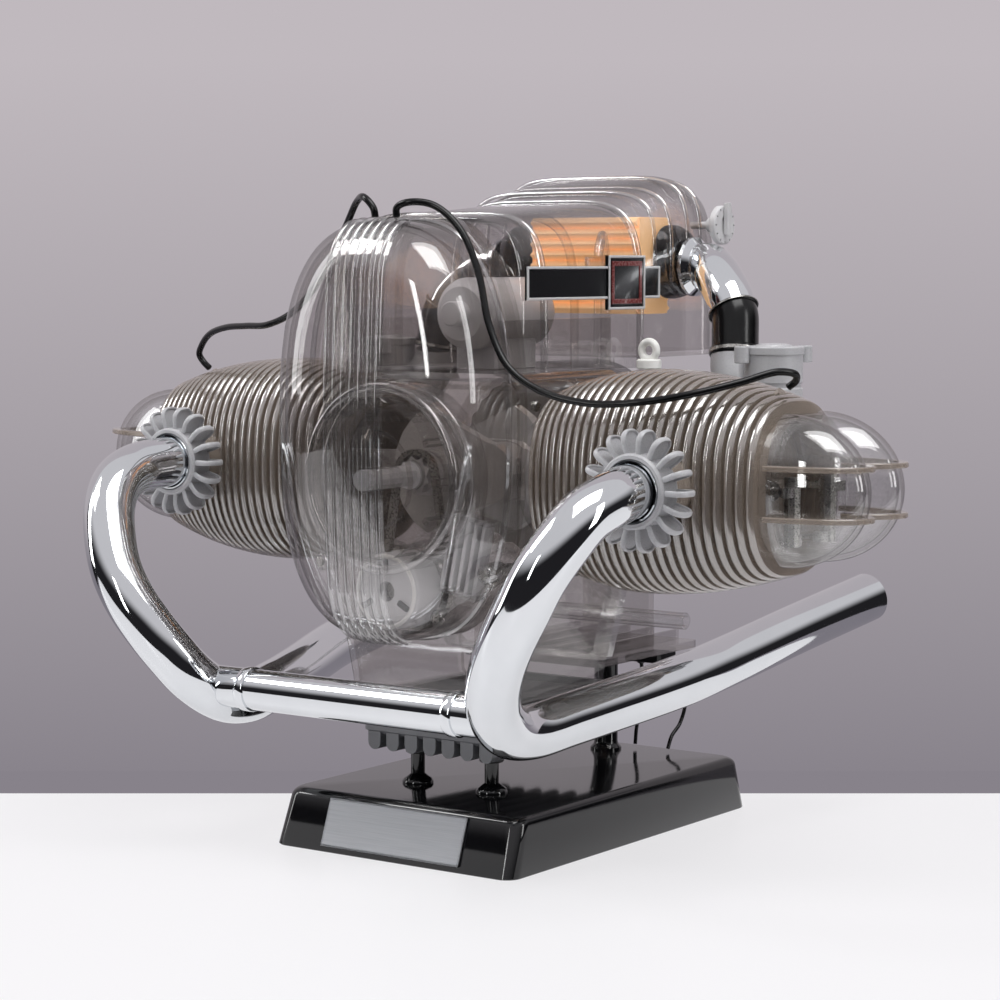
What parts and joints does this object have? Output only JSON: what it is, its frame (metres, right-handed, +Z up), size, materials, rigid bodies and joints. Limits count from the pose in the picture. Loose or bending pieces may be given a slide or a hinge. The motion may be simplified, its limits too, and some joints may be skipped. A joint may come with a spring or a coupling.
{
  "type": "four stroke engine model",
  "caption": "Transparent working model of a flat twin four stroke engine with finned cylinders, chrome exhaust pipes and a black display stand.",
  "frame": {"origin": "middle of the stand's underside", "axes": "+Z up, -Y towards the front cover and the label, +X towards the right-hand cylinder as seen from the front"},
  "size_m": [0.3692, 0.2614, 0.2638],
  "materials": {
    "smoke": "clear plastic with a light warm grey tint",
    "fin_smoke": "clear plastic with a warm grey tint, ribbed",
    "clear": "nearly colourless clear plastic",
    "black": "high gloss black",
    "dark_grey": "satin dark grey",
    "grey": "satin grey",
    "silver": "silver paint",
    "steel": "steel-coloured plated plastic",
    "chrome": "mirror chrome",
    "label": "brushed silver label",
    "badge": "black with a bright rim",
    "paper": "folded orange filter paper",
    "white": "white",
    "rubber": "black rubber"
  },
  "bodies": {
    "engine": {"base_cover": "black", "base_plate": "black", "name_plate": "label", "oil_pan": "dark_grey", "crankcase": "smoke", "rear_housing": "smoke", "timing_cover": "smoke", "front_cover": "smoke", "top_cover": "smoke", "airbox": "smoke", "air_filter": "paper", "starter_motor": "grey", "badge": "badge", "timing_chain": "steel", "barrel_right": "fin_smoke", "barrel_left": "fin_smoke", "head_right": "fin_smoke", "head_left": "fin_smoke", "rocker_cover_right": "clear", "rocker_cover_left": "clear", "spark_plug_right": "white", "spark_plug_left": "white", "exhaust_nut_right": "grey", "exhaust_nut_left": "grey", "exhaust_pipe_right": "chrome", "exhaust_pipe_left": "chrome", "cross_pipe": "chrome", "carburettor_right": "grey", "carburettor_left": "grey", "intake_hose_right": "rubber", "intake_hose_left": "rubber", "air_tube_right": "chrome", "air_tube_left": "chrome", "ignition_lead_right": "rubber", "ignition_lead_left": "rubber", "supply_cable": "rubber"},
    "crank": {"crankshaft": "steel", "flywheel": "steel", "alternator_rotor": "dark_grey"},
    "cam": {"camshaft": "steel"},
    "plug_right": {"balance_plug_right": "steel"},
    "plug_left": {"balance_plug_left": "steel"},
    "piston_right": {"piston_right": "steel", "conrod_right": "steel"},
    "piston_left": {"piston_left": "steel", "conrod_left": "steel"},
    "exhaust_rocker_right": {"exhaust_rocker_right": "steel"},
    "exhaust_rocker_left": {"exhaust_rocker_left": "steel"},
    "intake_rocker_right": {"intake_rocker_right": "steel"},
    "intake_rocker_left": {"intake_rocker_left": "steel"},
    "exhaust_valve_right": {"exhaust_valve_right": "steel"},
    "exhaust_valve_left": {"exhaust_valve_left": "steel"},
    "intake_valve_right": {"intake_valve_right": "steel"},
    "intake_valve_left": {"intake_valve_left": "steel"},
    "exhaust_pushrod_right": {"exhaust_pushrod_right": "steel"},
    "exhaust_pushrod_left": {"exhaust_pushrod_left": "steel"},
    "intake_pushrod_right": {"intake_pushrod_right": "steel"},
    "intake_pushrod_left": {"intake_pushrod_left": "steel"},
    "choke": {"choke_dial": "silver"},
    "dipstick": {"dipstick": "white"}
  },
  "joints": [
    {"name": "crank_spin", "type": "hinge", "parent": "engine", "child": "crank", "pos_m": [0, 0, 0.147], "axis": [0, 1, 0], "continuous": true},
    {"name": "cam_spin", "type": "hinge", "parent": "engine", "child": "cam", "pos_m": [0, 0, 0.104], "axis": [0, 1, 0], "continuous": true},
    {"name": "plug_turn_right", "type": "hinge", "parent": "crank", "child": "plug_right", "pos_m": [0.00882, 0, 0.147], "axis": [0, 1, 0], "continuous": true},
    {"name": "plug_turn_left", "type": "hinge", "parent": "crank", "child": "plug_left", "pos_m": [-0.00882, 0, 0.147], "axis": [0, 1, 0], "continuous": true},
    {"name": "piston_travel_right", "type": "hinge", "parent": "plug_right", "child": "piston_right", "pos_m": [0.01765, -0.037, 0.147], "axis": [0, 1, 0], "continuous": true},
    {"name": "piston_travel_left", "type": "hinge", "parent": "plug_left", "child": "piston_left", "pos_m": [-0.01765, -0.023, 0.147], "axis": [0, 1, 0], "continuous": true},
    {"name": "exhaust_rocker_turn_right", "type": "hinge", "parent": "engine", "child": "exhaust_rocker_right", "pos_m": [0.154, -0.0502, 0.147], "axis": [0, 0, 1], "range_deg": [-22, 0]},
    {"name": "intake_rocker_turn_right", "type": "hinge", "parent": "engine", "child": "intake_rocker_right", "pos_m": [0.154, -0.0238, 0.147], "axis": [0, 0, 1], "range_deg": [0, 22]},
    {"name": "exhaust_rocker_turn_left", "type": "hinge", "parent": "engine", "child": "exhaust_rocker_left", "pos_m": [-0.154, -0.0362, 0.147], "axis": [0, 0, 1], "range_deg": [0, 22]},
    {"name": "intake_rocker_turn_left", "type": "hinge", "parent": "engine", "child": "intake_rocker_left", "pos_m": [-0.154, -0.0098, 0.147], "axis": [0, 0, 1], "range_deg": [-22, 0]},
    {"name": "exhaust_valve_lift_right", "type": "slide", "parent": "engine", "child": "exhaust_valve_right", "axis": [-0.9703, 0.2419, 0], "range_m": [0, 0.0024]},
    {"name": "intake_valve_lift_right", "type": "slide", "parent": "engine", "child": "intake_valve_right", "axis": [-0.9703, -0.2419, 0], "range_m": [0, 0.0024]},
    {"name": "exhaust_valve_lift_left", "type": "slide", "parent": "engine", "child": "exhaust_valve_left", "axis": [0.9703, 0.2419, 0], "range_m": [0, 0.0024]},
    {"name": "intake_valve_lift_left", "type": "slide", "parent": "engine", "child": "intake_valve_left", "axis": [0.9703, -0.2419, 0], "range_m": [0, 0.0024]},
    {"name": "exhaust_pushrod_lift_right", "type": "slide", "parent": "engine", "child": "exhaust_pushrod_right", "axis": [0.9851, 0, 0.1721], "range_m": [0, 0.0017]},
    {"name": "intake_pushrod_lift_right", "type": "slide", "parent": "engine", "child": "intake_pushrod_right", "axis": [0.9851, 0, 0.1721], "range_m": [0, 0.0017]},
    {"name": "exhaust_pushrod_lift_left", "type": "slide", "parent": "engine", "child": "exhaust_pushrod_left", "axis": [-0.9851, 0, 0.1721], "range_m": [0, 0.0017]},
    {"name": "intake_pushrod_lift_left", "type": "slide", "parent": "engine", "child": "intake_pushrod_left", "axis": [-0.9851, 0, 0.1721], "range_m": [0, 0.0017]},
    {"name": "choke_turn", "type": "hinge", "parent": "engine", "child": "choke", "pos_m": [0.051, 0.07, 0.243], "axis": [1, 0, 0], "range_deg": [0, 90]},
    {"name": "dipstick_pull", "type": "slide", "parent": "engine", "child": "dipstick", "axis": [0, 0, 1], "range_m": [0, 0.045]}
  ],
  "couplings": [
    {"joint": "cam_spin", "follows": "crank_spin", "ratio": 0.5},
    {"joint": "plug_turn_right", "follows": "crank_spin", "ratio": -2},
    {"joint": "plug_turn_left", "follows": "crank_spin", "ratio": -2},
    {"joint": "piston_travel_right", "follows": "crank_spin", "ratio": 1},
    {"joint": "piston_travel_left", "follows": "crank_spin", "ratio": 1},
    {"joint": "exhaust_rocker_turn_right", "follows": "exhaust_pushrod_lift_right", "rad_per_m": -196},
    {"joint": "exhaust_valve_lift_right", "follows": "exhaust_pushrod_lift_right", "ratio": 1.275},
    {"joint": "intake_rocker_turn_right", "follows": "intake_pushrod_lift_right", "rad_per_m": 196},
    {"joint": "intake_valve_lift_right", "follows": "intake_pushrod_lift_right", "ratio": 1.275},
    {"joint": "exhaust_rocker_turn_left", "follows": "exhaust_pushrod_lift_left", "rad_per_m": 196},
    {"joint": "exhaust_valve_lift_left", "follows": "exhaust_pushrod_lift_left", "ratio": 1.275},
    {"joint": "intake_rocker_turn_left", "follows": "intake_pushrod_lift_left", "rad_per_m": -196},
    {"joint": "intake_valve_lift_left", "follows": "intake_pushrod_lift_left", "ratio": 1.275}
  ]
}
